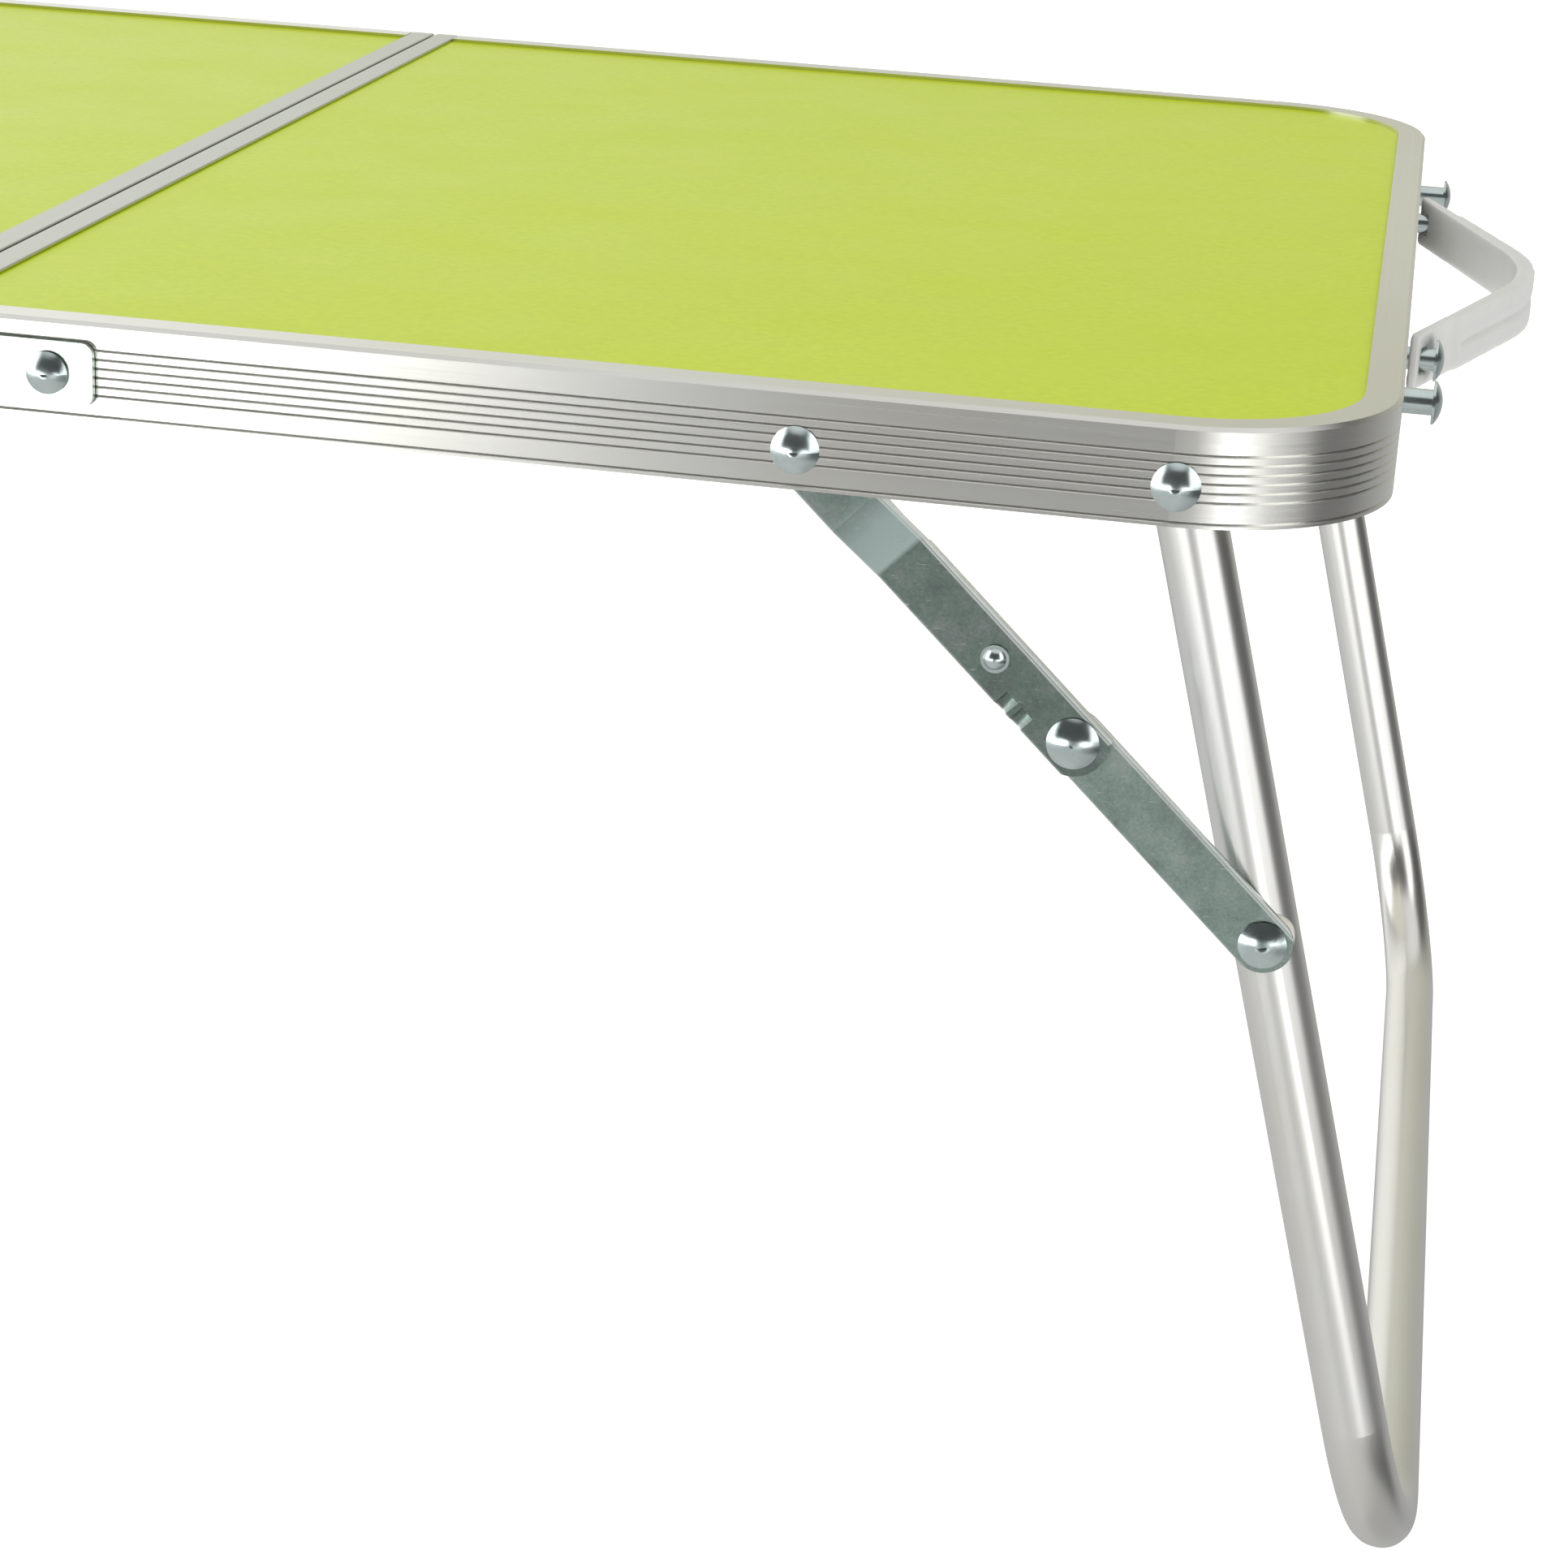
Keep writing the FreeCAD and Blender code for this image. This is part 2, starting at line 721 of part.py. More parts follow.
def hinge_plate():
    body = new_body("hinge_plate")
    sketch = sketch_on(body, "XZ_Plane", half_width + d.plate_gap)
    low = hinge_height - d.hinge_tall / 2
    high = hinge_height + d.hinge_tall / 2
    reach = d.hinge_half
    polygon(sketch, [(-reach, low), (reach, low), (reach, high), (-reach, high)])
    plate = pad(body, sketch, d.hinge_thick)
    round_edges(body, plate, d.hinge_corner, lambda edge: edge.BoundBox.YLength > 1)
    doc.recompute()
    holes = [
        rod("y", hole_radius, (d.hinge_reach * side, -half_width - 5, hinge_height), 10)
        for side in (-1, 1)
    ]
    return cut(body, *holes)


HANDLE_RISE = Size(math.tan(math.radians(number(d.handle_slope))), "tan(dims.handle_slope * 1deg)")


def handle_body():
    """The moulded bail in plan: two slanting legs whose ends lie on the end rail, and a shallow bow."""
    body = new_body("handle_band")
    sketch = sketch_on(body, "XY_Plane", d.handle_low)
    foot_in = d.half_length + 0.6
    foot_out = foot_in + 2
    outer_tip = foot_out + d.handle_half * HANDLE_RISE
    inner_tip = outer_tip - d.handle_band
    inner_foot = d.handle_half - 2.5
    step = d.handle_half - 21.5
    outer_side = [
        (foot_out, -d.handle_half),
        (foot_out + 21.5 * HANDLE_RISE, -step),
        (foot_out + 23.5 * HANDLE_RISE + 0.7, 2 - step),
    ]
    inner_side = [
        (foot_in, -inner_foot),
        (foot_in, -d.handle_half),
    ]
    outer_back = [(x, -y) for x, y in reversed(outer_side)]
    inner_back = [(x, -y) for x, y in reversed(inner_side)]
    outline = outer_side + [(outer_tip + 0.7, 0)] + outer_back + inner_back + [(inner_tip, 0)] + inner_side
    polygon(sketch, outline)
    band = pad(body, sketch, d.handle_tall)

    def on_tip(edge):
        return edge.BoundBox.ZLength > 1 and edge.BoundBox.XMin > number(inner_tip) - 1

    round_edges(body, band, d.handle_bow - d.handle_band, on_tip)
    doc.recompute()
    return body


def handle():
    """The bail: a groove along its outer face, and in each end a slot for a rivet's neck and a head seat."""
    seat = d.half_length + d.stud_neck - d.plate_gap - d.handle_play
    tools = []
    for side in (-1, 1):
        middle = d.handle_offset * side
        low = end_height - 2.8
        tools.append(box(d.half_length, d.half_length + 15, middle - 3.3, middle + 3.3, low, low + 5.6))
        tools.append(rod("x", 5.2, (seat, middle, end_height), 10))
    bail = handle_body()
    inner_part = placed(bail, FreeCAD.Placement(V(-0.6, 0, 0), FreeCAD.Rotation()))
    middle_height = d.handle_low + d.handle_tall / 2
    layer = box(
        d.half_length, d.half_length + 35, -60, 60, middle_height - 1, middle_height + 0.8
    )
    tools.append(cut(layer, inner_part))
    return cut(bail, *tools)


def hook():
    """A flat latch hook lying towards the middle of the left end rail, origin at its rivet."""
    reach = d.hinge_reach * 2 + (d.hinge_depth - d.end_depth) * 2
    neck = 2.75 + 0.3
    strip = fuse(
        box(0, reach, -d.hook_half, d.hook_half, 0, d.hook_thick),
        rod("z", d.hook_half, (0, 0, 0), d.hook_thick),
        rod("z", d.hook_half, (reach, 0, 0), d.hook_thick),
    )
    notch = fuse(
        rod("z", neck, (reach, 0, -1), 5),
        box(reach - neck, reach + neck, 0, d.hook_half + 1, -1, 4),
    )
    return cut(strip, notch, rod("z", hole_radius, (0, 0, -1), 5))


def build_half(side, turn, end_studs):
    """All the pieces of one half; turn puts the drawn right half where it belongs."""
    keep(f"{side}_board", placed(board(), turn))
    keep(f"{side}_frame_rail", placed(rail(end_studs), turn))
    keep(f"{side}_seam_strip", placed(seam_strip(), turn))
    wall = number(d.rail_wall)
    stack = number(d.hinge_thick + d.plate_gap * 2) + wall + 1
    pairs = (
        ("corner_cleats", cleat()),
        (
            "hinge_rivets",
            side_rivet(
                d.hinge_reach,
                hinge_height,
                half_width + d.plate_gap * 2 + d.hinge_thick,
                4.35,
                2,
                stack,
                4,
                1,
            ),
        ),
        ("leg_sleeves", sleeve()),
        (
            "leg_pivot_rivets",
            side_rivet(
                d.leg_reach,
                leg_height,
                half_width,
                4.85,
                2.3,
                number(half_width - d.leg_offset + d.tube_radius + d.plate_gap),
                4,
                1,
            ),
        ),
        (
            "brace_rail_rivets",
            side_rivet(
                brace_x,
                leg_height,
                half_width,
                4.85,
                2.3,
                number(half_width - d.upper_root_face + d.link_thick + d.plate_gap),
                4,
                0.9,
            ),
        ),
    )
    for name, front in pairs:
        keep(f"{side}_{name}", placed(group(front, mirror_y(front)), turn))


def build_leg(side, turn):
    """The leg frame with its saddles and rivets."""
    where = turn.multiply(leg_place)
    keep(f"{side}_leg_frame", placed(leg_tube(), where))
    for name, front in (("leg_saddles", saddle()), ("brace_leg_rivets", leg_rivet())):
        other = doc.addObject("Part::Mirroring", "mirrored")
        other.Source = front
        other.Normal = V(1, 0, 0)
        keep(f"{side}_{name}", placed(group(front, other), where))


def build_braces(side, turn, first_face, other_face):
    """Both braces of one leg, the second a mirror image of the first."""
    pieces = (
        ("upper_link", upper_link(), upper_place),
        ("stop_pin", upper_stop(), upper_place),
        ("brace_rivet_head", middle_head(), upper_place),
        ("lower_link", lower_link(), lower_place),
        ("brace_rivet_tail", middle_tail(), lower_place),
    )
    for name, item, place in pieces:
        first = placed(item, turn.multiply(place))
        keep(f"{side}_{first_face}_{name}", first)
        keep(f"{side}_{other_face}_{name}", mirror_y(first))


STAY = FreeCAD.Placement()
HALF_TURN = FreeCAD.Placement(V(0, 0, 0), V(0, 0, 1), 180)

build_half("right", STAY, (d.stud_offset, d.handle_offset))
build_half("left", HALF_TURN, (d.stud_offset,))
for side, turn, faces in (("right", STAY, ("front", "back")), ("left", HALF_TURN, ("back", "front"))):
    build_leg(side, turn)
    build_braces(side, turn, *faces)

front_plate = hinge_plate()
keep("front_hinge_plate", placed(front_plate, STAY))
keep("back_hinge_plate", mirror_y(front_plate))

keep("handle", placed(handle(), STAY))
handle_rivet = end_rivet(-d.handle_offset, 4.6, 2.1, number(d.stud_neck), 2.5)
keep("handle_rivets", group(handle_rivet, mirror_y(handle_rivet)))
stud = end_rivet(-d.stud_offset, 4.6, 2.1, number(d.stud_neck), 2.75)
keep("latch_studs", group(stud, mirror_y(stud)))

hook_axes = FreeCAD.Rotation(V(0, 1, 0), V(0, 0, -1), V(-1, 0, 0), "XYZ")
hook_gap = d.plate_gap
hook_spot = V(
    -number(d.half_length + hook_gap), -number(d.stud_offset), number(end_height)
)
front_hook = placed(hook(), FreeCAD.Placement(hook_spot, hook_axes))
keep("front_latch_hook", front_hook)
keep("back_latch_hook", mirror_y(front_hook))
hook_stack = number(d.hook_thick + hook_gap * 2)
latch_rivet = placed(
    end_rivet(-d.stud_offset, 4.2, 1.6, hook_stack, 2.5),
    HALF_TURN,
)
keep("latch_rivets", group(latch_rivet, mirror_y(latch_rivet)))

doc.recompute()

for item in doc.Objects:
    if "Invalid" in item.State or "Error" in item.State:
        raise RuntimeError(f"{item.Label} did not compute: {item.State}")
os.makedirs("parts", exist_ok=True)
for item in subparts:
    if item.Shape.isNull() or not item.Shape.isValid():
        raise RuntimeError(f"{item.Label} has no valid shape")
    item.Shape.exportStep(f"parts/{item.Label}.step")
print(f"wrote {len(subparts)} sub-parts")
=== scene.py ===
"""The looks of the folding picnic table: procedural materials, rounded edges and the studio."""

import json
import math

import bmesh
import bpy
from mathutils import Matrix, Vector

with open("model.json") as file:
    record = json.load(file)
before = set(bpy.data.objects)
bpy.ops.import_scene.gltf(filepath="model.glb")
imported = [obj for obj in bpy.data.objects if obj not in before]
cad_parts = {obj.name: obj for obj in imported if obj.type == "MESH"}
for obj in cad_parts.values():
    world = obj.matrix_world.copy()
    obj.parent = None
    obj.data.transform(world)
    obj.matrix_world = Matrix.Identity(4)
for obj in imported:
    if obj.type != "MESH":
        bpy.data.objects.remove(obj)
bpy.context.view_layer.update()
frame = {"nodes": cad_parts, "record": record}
nodes = frame["nodes"]
pivots = {joint["name"]: joint["pos_m"] for joint in frame["record"]["behaviour"]["joints"]}

# Sizes of the part in metres, for the looks that follow its shape.
CORNER_X = 0.258  # centres of the frame rails' corner arcs, from the middle of the table
CORNER_Y = 0.158
GREEN_ABOVE = 0.2606  # half a millimetre under the boards' green faces
LINK_WIDTH = 0.0124
BEND_REACH = 0.0305  # from an upper link's rail rivet to just past its offset bend


# --- node building --------------------------------------------------------------------------------

# The Mix node has a set of sockets for each kind of data. These are the ones that mix colours.
MIX_FACTOR = 0
MIX_FIRST = 6
MIX_SECOND = 7
MIX_RESULT = 2


def rgba(level):
    """Four numbers from a colour or a grey level."""
    return (*level, 1) if isinstance(level, tuple) else (level, level, level, 1)


class Nodes:
    """Short calls for the shader nodes used here."""

    def __init__(self, tree):
        self.tree = tree

    def add(self, kind):
        return self.tree.nodes.new("ShaderNode" + kind)

    def link(self, source, target):
        self.tree.links.new(source, target)

    def feed(self, value, socket):
        """Give a socket another node's output, or a fixed value."""
        if isinstance(value, bpy.types.NodeSocket):
            self.link(value, socket)
        else:
            socket.default_value = value

    def math(self, kind, *values):
        item = self.add("Math")
        item.operation = kind
        for value, socket in zip(values, item.inputs):
            self.feed(value, socket)
        return item.outputs[0]

    def split(self, vector):
        item = self.add("SeparateXYZ")
        self.link(vector, item.inputs[0])
        return item.outputs

    def ramp(self, source, *stops):
        """A colour or grey level for each value of the source."""
        item = self.add("ValToRGB")
        self.link(source, item.inputs["Fac"])
        elements = item.color_ramp.elements
        while len(elements) < len(stops):
            elements.new(0.5)
        for element, (spot, level) in zip(elements, stops):
            element.position = spot
            element.color = rgba(level)
        return item.outputs["Color"]

    def blend(self, kind, factor, first, second):
        """Two outputs, colours or grey levels put together, the second as far as the factor says."""
        item = self.add("Mix")
        item.data_type = "RGBA"
        item.blend_type = kind
        self.feed(factor, item.inputs[MIX_FACTOR])
        for value, place in ((first, MIX_FIRST), (second, MIX_SECOND)):
            fixed = not isinstance(value, bpy.types.NodeSocket)
            self.feed(rgba(value) if fixed else value, item.inputs[place])
        return item.outputs[MIX_RESULT]


class Shader(Nodes):
    """A Principled material, in the coordinates that its piece has at rest."""

    def __init__(self, name, **settings):
        self.material = bpy.data.materials.new(name)
        self.material.use_nodes = True
        super().__init__(self.material.node_tree)
        self.surface = self.tree.nodes["Principled BSDF"]
        for socket, value in settings.items():
            self.surface.inputs[socket.replace("_", " ")].default_value = value
        self.place = self.add("TexCoord").outputs["Object"]

    def stretched(self, scale, turn=(0, 0, 0)):
        """Coordinates scaled by axis, for grain that runs one way."""
        mapping = self.add("Mapping")
        mapping.inputs["Scale"].default_value = scale
        mapping.inputs["Rotation"].default_value = turn
        self.link(self.place, mapping.inputs["Vector"])
        return mapping.outputs["Vector"]

    def noise(self, scale, detail=4, rough=0.55, vector=None):
        texture = self.add("TexNoise")
        texture.inputs["Scale"].default_value = scale
        texture.inputs["Detail"].default_value = detail
        texture.inputs["Roughness"].default_value = rough
        self.link(vector or self.place, texture.inputs["Vector"])
        return texture.outputs["Fac"]

    def cells(self, scale):
        texture = self.add("TexVoronoi")
        texture.inputs["Scale"].default_value = scale
        self.link(self.place, texture.inputs["Vector"])
        return texture.outputs["Color"]

    def above(self, height):
        """1 above the height, 0 below it."""
        return self.math("GREATER_THAN", self.split(self.place)[2], height)

    def past(self, coordinate, centre):
        """How far a point lies beyond the centre of a corner arc, along one axis."""
        return self.math("MAXIMUM", self.math("SUBTRACT", self.math("ABSOLUTE", coordinate), centre), 0.0)

    def round_the_frame(self, along, across):
        """Coordinates that follow a frame rail round its corners, for its drawn lines."""
        x, y, z = self.split(self.place)
        squares = [self.math("POWER", self.past(x, CORNER_X), 2.0)]
        squares.append(self.math("POWER", self.past(y, CORNER_Y), 2.0))
        reach = self.math("SQRT", self.math("ADD", *squares))
        item = self.add("CombineXYZ")
        self.link(self.math("MULTIPLY", reach, across), item.inputs[0])
        self.link(self.math("MULTIPLY", z, across), item.inputs[1])
        self.link(self.math("MULTIPLY", self.math("SUBTRACT", x, y), along), item.inputs[2])
        return item.outputs[0]

    def on_the_brace(self):
        """How far along an upper link's bent end, and how far across a link, each from 0 to 1."""
        root, foot = pivots["right_front_upper_fold"], pivots["right_front_lower_fold"]
        angle = math.atan2(root[2] - foot[2], foot[0] - root[0])
        flat, steep = math.cos(angle), math.sin(angle)
        x, _, z = self.split(self.place)
        out = self.math("SUBTRACT", self.math("ABSOLUTE", x), root[0])
        rise = self.math("SUBTRACT", z, root[2])
        along = self.math("SUBTRACT", self.math("MULTIPLY", out, flat), self.math("MULTIPLY", rise, steep))
        across = self.math("ADD", self.math("MULTIPLY", out, steep), self.math("MULTIPLY", rise, flat))
        across = self.math("ADD", self.math("DIVIDE", across, LINK_WIDTH), 0.5)
        return self.math("DIVIDE", along, BEND_REACH), across

    def color(self, source):
        self.link(source, self.surface.inputs["Base Color"])

    def rough(self, source, low, high):
        self.link(self.ramp(source, (0.3, low), (0.7, high)), self.surface.inputs["Roughness"])

    def bump(self, source, depth, strength):
        """Small relief on top of any that is there; the depth is in metres."""
        item = self.add("Bump")
        item.inputs["Distance"].default_value = depth
        item.inputs["Strength"].default_value = strength
        self.link(source, item.inputs["Height"])
        normal = self.surface.inputs["Normal"]
        if normal.is_linked:
            self.link(normal.links[0].from_socket, item.inputs["Normal"])
        self.link(item.outputs["Normal"], normal)


# --- materials ------------------------------------------------------------------------------------


def laminate():
    """Lime-green melamine: a faint cloudy print, a fine pebble in the gloss and a few dust specks."""
    s = Shader("lime_laminate", Specular_IOR_Level=0.14)
    cloud = s.noise(9, 5)
    grain = s.noise(520, 3)
    base = s.ramp(cloud, (0.3, (0.53, 0.66, 0.006)), (0.7, (0.545, 0.675, 0.009)))
    tone = s.ramp(grain, (0.35, (0.96, 0.96, 0.9)), (0.65, (1.02, 1.015, 1.04)))
    dust = s.ramp(s.cells(600), (0.0, 0.8), (0.03, 1.0))
    face = s.blend("MULTIPLY", 0.35, s.blend("MULTIPLY", 1.0, base, tone), dust)
    backing = s.ramp(grain, (0.3, (0.55, 0.53, 0.48)), (0.7, (0.66, 0.64, 0.59)))
    s.color(s.blend("MIX", s.above(GREEN_ABOVE), backing, face))
    s.rough(s.noise(30), 0.27, 0.33)
    s.bump(s.noise(900, 2), 0.00004, 0.35)
    return s.material


def aluminium(name, tone, grain, rough, line, relief, wave, stretch=0.0):
    """Drawn aluminium: fine lines along the grain, soft cloudy tarnish and a few dull specks.

    The grain is a scale by axis, or one scale for lines that follow a frame rail. The line is how
    much tone and roughness change from line to line. Relief and wave are the strengths of the
    lines' bump and of the slow unevenness, and stretch is how far highlights are drawn out.
    """
    s = Shader(name, Metallic=1.0, Anisotropic=stretch, Anisotropic_Rotation=0.25)
    if stretch:
        lay = s.add("Tangent")
        lay.direction_type = "RADIAL"
        lay.axis = "Z"
        s.link(lay.outputs[0], s.surface.inputs["Tangent"])
    run = s.stretched(grain) if isinstance(grain, tuple) else s.round_the_frame(along=6.0, across=grain)
    lines = s.noise(1, 6, 0.7, run)
    dark = tuple(part * (1 - line) for part in tone)
    light = tuple(min(1.0, part * (1 + line / 2)) for part in tone)
    base = s.ramp(lines, (0.3, dark), (0.7, light))
    tarnish = s.ramp(s.noise(14, 5, 0.6), (0.3, (0.97, 0.96, 0.93)), (0.7, (1.0, 1.0, 1.0)))
    specks = s.ramp(s.cells(90), (0.0, 0.8), (0.03, 1.0))
    s.color(s.blend("MULTIPLY", 0.25, s.blend("MULTIPLY", 1.0, base, tarnish), specks))
    s.rough(lines, rough - line * 0.9, rough + line)
    s.bump(lines, 0.00003, relief)
    s.bump(s.noise(60, 3), 0.00012, wave)
    return s.material


def zinc(name, depth, red=1.0, painted_highlights=()):
    """Zinc-plated sheet: a bluish-green cloud, a crystal mottle and small bright scratches.

    On the braces a painted highlight is mixed into the colour where the sheet is bent: on the offset and
    along the edge.
    """
    s = Shader(name, Metallic=1.0)
    cloud = s.noise(120, 6, 0.65)
    tones = ((0.41 * red, 0.46, 0.45), (0.47 * red, 0.61, 0.54), (0.66 * red, 0.71, 0.70))
    tones = [tuple(depth * part for part in tone) for tone in tones]
    base = s.ramp(cloud, *zip((0.25, 0.5, 0.75), tones))
    mottle = s.ramp(s.cells(1800), (0.0, 0.8), (1.0, 1.12))
    sheet = s.blend("MULTIPLY", 0.8, base, mottle)
    if painted_highlights:
        along, across = s.on_the_brace()
    # Painted highlight on the upper link's offset facet, strongest towards the end of the bend.
    if "offset" in painted_highlights:
        painted_highlight = s.ramp(along, (0.0, 0.0), (0.5, 0.1), (0.72, 0.75), (0.95, 0.9), (0.985, 0.0))
        sheet = s.blend("MIX", painted_highlight, sheet, (0.56, 0.68, 0.66))
    if "edge" in painted_highlights:
        # Painted highlights along the link's long edges: a soft band at one edge and two thin lines at the
        # other.
        near_edge = ((0.0, 0.55), (0.04, 0.0))
        far_edge = ((0.9, 0.0), (0.925, 0.85), (0.95, 0.2), (0.965, 0.9))
        painted_highlight = s.ramp(across, *near_edge, *far_edge)
        sheet = s.blend("MIX", painted_highlight, sheet, (0.86, 0.9, 0.88))
    scratch = s.noise(1, 3, 0.5, s.stretched((300, 300, 2600), (0.4, 0.76, 0.2)))
    s.color(s.blend("MIX", s.ramp(scratch, (0.68, 0.0), (0.74, 0.5)), sheet, (0.78, 0.8, 0.8)))
    s.rough(cloud, 0.24, 0.4)
    s.bump(s.noise(700, 3), 0.00003, 0.4)
    s.bump(s.noise(40, 2), 0.0002, 0.15)
    return s.material


def bright():
    """Bright zinc rivets: smooth, with a little haze and a faint unevenness."""
    s = Shader("bright_rivet", Metallic=1.0)
    haze = s.noise(160, 5, 0.6)
    s.color(s.ramp(haze, (0.3, (0.57, 0.66, 0.65)), (0.7, (0.70, 0.79, 0.78))))
    s.rough(haze, 0.14, 0.24)
    s.bump(s.noise(500, 3), 0.00004, 0.3)
    return s.material


def plastic(name, low, high, rough):
    """Moulded plastic: slight milkiness, a soft cloudy tone and a faint orange peel."""
    s = Shader(
        name,
        Specular_IOR_Level=0.5,
        Subsurface_Weight=0.5,
        Subsurface_Radius=(1, 1, 1),
        Subsurface_Scale=0.003,
    )
    s.color(s.ramp(s.noise(45), (0.3, low), (0.7, high)))
    s.rough(s.noise(220, 3), rough - 0.05, rough + 0.07)
    s.bump(s.noise(600, 2), 0.00004, 0.3)
    return s.material


LAMINATE = laminate()
RAIL = aluminium(
    "rail_drawn", (0.83, 0.83, 0.80), 1100.0, 0.25, line=0.035, relief=0.12, wave=0.05, stretch=0.7
)
STRIP = aluminium("strip_drawn", (0.63, 0.65, 0.61), (900, 6, 900), 0.34, line=0.07, relief=0.2, wave=0.12)
TUBE = aluminium("tube_drawn", (0.86, 0.86, 0.84), (900, 900, 4), 0.29, line=0.012, relief=0.02, wave=0.02)
PLATE = zinc("zinc_plate", 1.3, red=1.13)
# The links' copies of the plating carry painted highlights at their bends, and the upper link's copy is
# darker than the lower link's as painted shade under the rail.
LOWER = zinc("zinc_lower_link", 0.68, painted_highlights=("edge",))
UPPER = zinc("zinc_upper_link", 0.42, painted_highlights=("edge", "offset"))
BRIGHT = bright()
WHITE = plastic("white_plastic", (0.61, 0.61, 0.59), (0.65, 0.65, 0.63), 0.36)
IVORY = plastic("ivory_nylon", (0.70, 0.68, 0.58), (0.78, 0.76, 0.66), 0.45)


def finish_of(name):
    if name.endswith("_board"):
        return LAMINATE
    if name.endswith("_frame_rail"):
        return RAIL
    if name.endswith("_seam_strip"):
        return STRIP
    if name.endswith("_leg_frame"):
        return TUBE
    if name.endswith(("_leg_saddles", "_leg_sleeves")):
        return IVORY
    if name == "handle":
        return WHITE
    if "rivet" in name or "stud" in name or "stop_pin" in name:
        return BRIGHT
    if name.endswith("upper_link"):
        return UPPER
    return LOWER if name.endswith("lower_link") else PLATE


for name, piece in nodes.items():
    piece.data.materials.clear()
    piece.data.materials.append(finish_of(name))


# --- rounded edges --------------------------------------------------------------------------------

EDGE_ROUND = 0.00045
MOULD_VOXEL = 0.0005


def soften(name):
    """Round the sharp edges of a carried-over piece."""
    piece = nodes[name]
    weld = piece.modifiers.new("weld", "WELD")
    weld.merge_threshold = 0.00001
    flat = piece.modifiers.new("flat", "DECIMATE")
    flat.decimate_type = "DISSOLVE"
    flat.angle_limit = math.radians(0.5)
    bevel = piece.modifiers.new("round", "BEVEL")
    bevel.width = EDGE_ROUND
    bevel.segments = 2
    bevel.limit_method = "ANGLE"
    bevel.angle_limit = math.radians(35)
    bevel.harden_normals = True


def mould(name):
    """Round a carried-over piece all over, as a plastic moulding is."""
    piece = nodes[name]
    grid = piece.modifiers.new("grid", "REMESH")
    grid.mode = "VOXEL"
    grid.voxel_size = MOULD_VOXEL
    grid.use_smooth_shade = True
    ease = piece.modifiers.new("ease", "SMOOTH")
    ease.factor = 0.5
    ease.iterations = 7


mould("handle")
for name in nodes:
    if name.endswith(("_link", "_hinge_plate", "_seam_strip")):
        soften(name)


# --- studio ---------------------------------------------------------------------------------------

FLOOR_HALF = 9
FLOOR_TOP = -0.0004  # just below the feet
BACKDROP = 1.0
AMBIENT = 0.74  # the plain light on everything that isn't a mirror
SOFTBOX_SIZE = (1.8, 1.4)
SOFTBOX_TARGET = (0.1, 0, 0.2)
LENS = 81.15
CAMERA_SPOT = (0.29494, -0.85654, 0.42675)
CAMERA_AHEAD = (-0.15302, 0.9255, -0.34646)
CAMERA_RIGHT = (0.9821, 0.1814, 0.05082)  # before it is squared up with ahead

# What the metal mirrors. Each band has its brightness by compass direction in degrees: 0 is straight
# out in front of the table, 90 is its handle end and 180 is behind it.
WALLS = (
    (-180, (0.62, 0.62, 0.53)), (-170, (0.72, 0.73, 0.66)), (-156, (1.0, 1.0, 0.96)), (-115, 0.8),
    (-95, 0.3), (-86, 1.9), (-54, 1.9), (-46, 0.1), (38, 0.08), (45, 1.7), (68, 1.7), (76, 0.08),
    (122, 0.08), (140, (0.4, 0.4, 0.37)), (180, (0.62, 0.62, 0.53)),
)
SKIRT = (
    (-180, 0.6), (-90, 1.2), (-40, 5.0), (-20, 5.0), (-17, 3.3), (-15, 1.6), (-13, 0.85), (-10, 0.48),
    (-3, 0.3), (9, 0.6), (18, 1.9), (28, 4.0), (38, 2.6), (50, 1.0), (66, 0.4), (85, 0.26),
    (118, 0.34), (142, 0.43), (180, 0.55),
)
GROUND = (
    (-180, 0.45), (-147, 0.4), (-103, 0.55), (-66, 0.8), (-37, 0.46), (-27, 0.38), (-17, 0.46),
    (-5, 0.55), (5, 0.9), (14, 0.9), (22, 0.65), (33, 0.3), (60, 0.12), (105, 0.1), (127, 0.4),
    (180, 0.45),
)
DEEP = (
    (-180, 0.45), (-140, 0.6), (0, (0.6, 0.62, 0.62)), (14, 0.55), (40, 0.28), (64, 0.1),
    (112, 0.1), (140, 0.4), (180, 0.45),
)
NADIR = (
    (-180, 0.52), (-40, (0.63, 0.62, 0.61)), (20, (0.6, 0.59, 0.58)), (75, 0.42), (130, 0.42),
    (180, 0.52),
)
CEILING = 0.8

# The bands above the lowest one, each with the heights between which it takes over. A height is the
# upward part of a direction of length 1: -1 is straight down and 1 is straight up.
RISING = (
    (-0.66, -0.5, DEEP),
    (-0.44, -0.39, GROUND),
    (-0.33, -0.26, SKIRT),
    (-0.14, -0.09, WALLS),
)
CEILING_FROM = (0.66, 0.8)


def paper():
    s = Shader(
        "studio_paper",
        Roughness=0.9,
        Specular_IOR_Level=0.1,
        Emission_Color=(1, 1, 1, 1),
        Emission_Strength=0.55,
    )
    s.color(s.ramp(s.noise(300, 3), (0.3, (0.90, 0.90, 0.90)), (0.7, (0.93, 0.93, 0.93))))
    return s.material


def floor():
    mesh = bpy.data.meshes.new("studio_floor")
    shape = bmesh.new()
    bmesh.ops.create_grid(shape, x_segments=4, y_segments=4, size=FLOOR_HALF)
    bmesh.ops.translate(shape, verts=shape.verts, vec=(0, 0, FLOOR_TOP))
    shape.to_mesh(mesh)
    shape.free()
    mesh.materials.append(paper())
    item = bpy.data.objects.new("studio_floor", mesh)
    bpy.context.collection.objects.link(item)
    item.visible_glossy = False


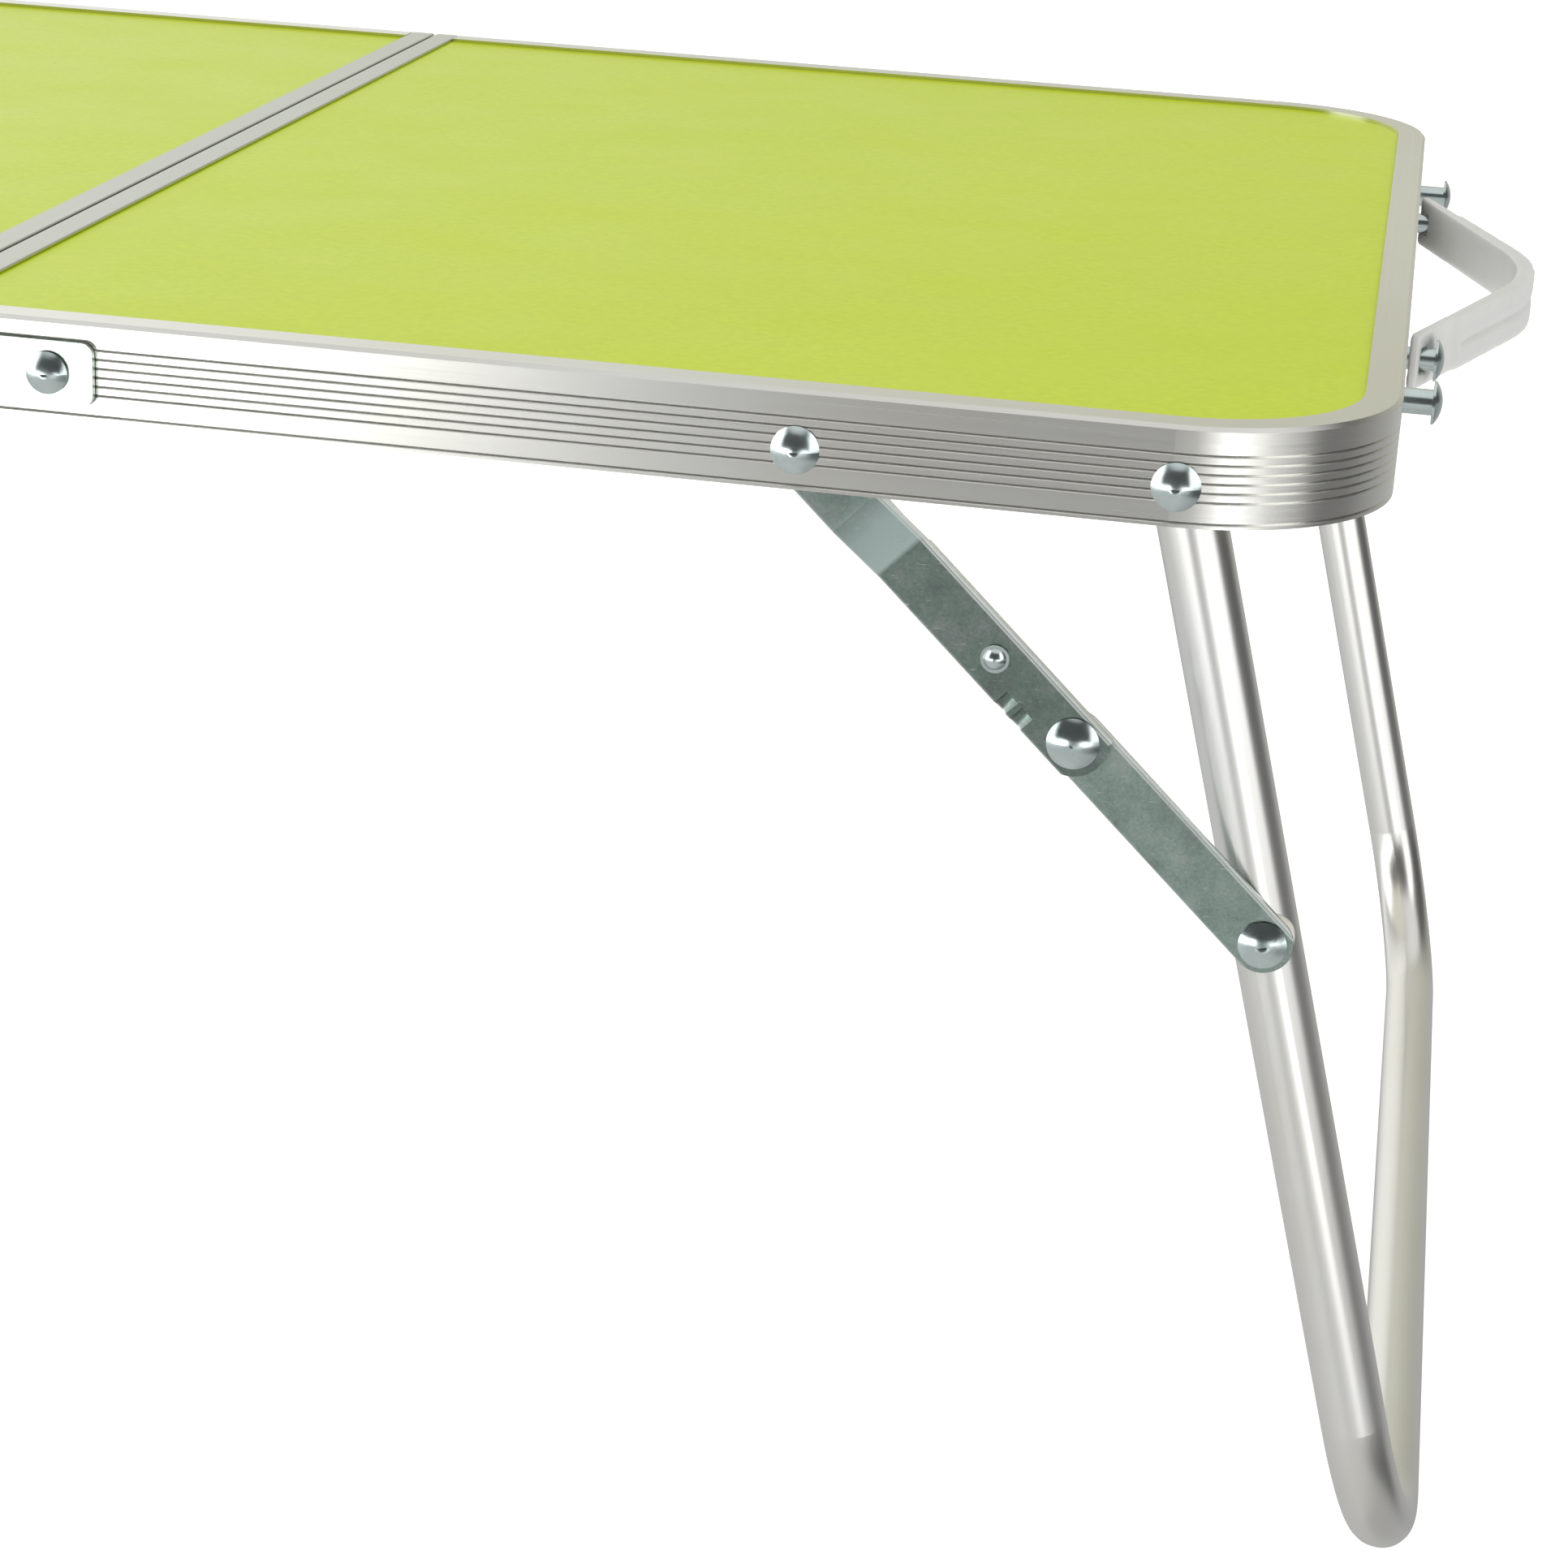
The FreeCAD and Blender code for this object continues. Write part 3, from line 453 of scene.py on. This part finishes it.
def softbox(name, spot, power):
    data = bpy.data.lights.new(name, "AREA")
    data.shape = "RECTANGLE"
    data.size, data.size_y = SOFTBOX_SIZE
    data.energy = power
    item = bpy.data.objects.new(name, data)
    item.location = spot
    item.rotation_mode = "QUATERNION"
    item.rotation_quaternion = (Vector(SOFTBOX_TARGET) - Vector(spot)).to_track_quat("-Z", "Y")
    item.visible_glossy = False
    bpy.context.collection.objects.link(item)


def surroundings():
    """A white backdrop for the camera, bands of light for the metal and plain light for the rest."""
    world = bpy.data.worlds.new("studio")
    bpy.context.scene.world = world
    world.use_nodes = True
    s = Nodes(world.node_tree)
    across, along, up = s.split(s.add("TexCoord").outputs["Generated"])
    turn = s.math("ARCTAN2", across, s.math("MULTIPLY", along, -1.0))
    turn = s.math("MULTIPLY_ADD", turn, 1 / (2 * math.pi), 0.5)

    def band(stops):
        return s.ramp(turn, *((degrees / 360 + 0.5, level) for degrees, level in stops))

    def rise(start, stop):
        item = s.add("MapRange")
        s.link(up, item.inputs["Value"])
        item.inputs["From Min"].default_value = start
        item.inputs["From Max"].default_value = stop
        return item.outputs[0]

    mirrored = band(NADIR)
    for start, stop, stops in RISING:
        mirrored = s.blend("MIX", rise(start, stop), mirrored, band(stops))
    mirrored = s.blend("MIX", rise(*CEILING_FROM), mirrored, CEILING)
    ray = s.add("LightPath").outputs
    light = s.blend("MIX", ray["Is Glossy Ray"], AMBIENT, mirrored)
    light = s.blend("MIX", ray["Is Camera Ray"], light, BACKDROP)
    s.link(light, s.tree.nodes["Background"].inputs["Color"])


def camera():
    """The main point of view: a little above the top, in front of the handle end."""
    data = bpy.data.cameras.new("camera")
    data.sensor_width = 36
    data.lens = LENS
    data.clip_start = 0.05
    data.clip_end = 100
    item = bpy.data.objects.new("camera", data)
    ahead = Vector(CAMERA_AHEAD).normalized()
    right = Vector(CAMERA_RIGHT)
    right = (right - ahead * right.dot(ahead)).normalized()
    up = right.cross(ahead)
    turn = Matrix((right, up, -ahead)).transposed()
    item.matrix_world = Matrix.Translation(CAMERA_SPOT) @ turn.to_4x4()
    bpy.context.collection.objects.link(item)
    bpy.context.scene.camera = item


floor()
surroundings()
softbox("key", (-1.3, -1.5, 2.2), 17)
softbox("fill", (1.4, 0.9, 2.2), 10)
bpy.context.scene.view_settings.view_transform = "Standard"
camera()
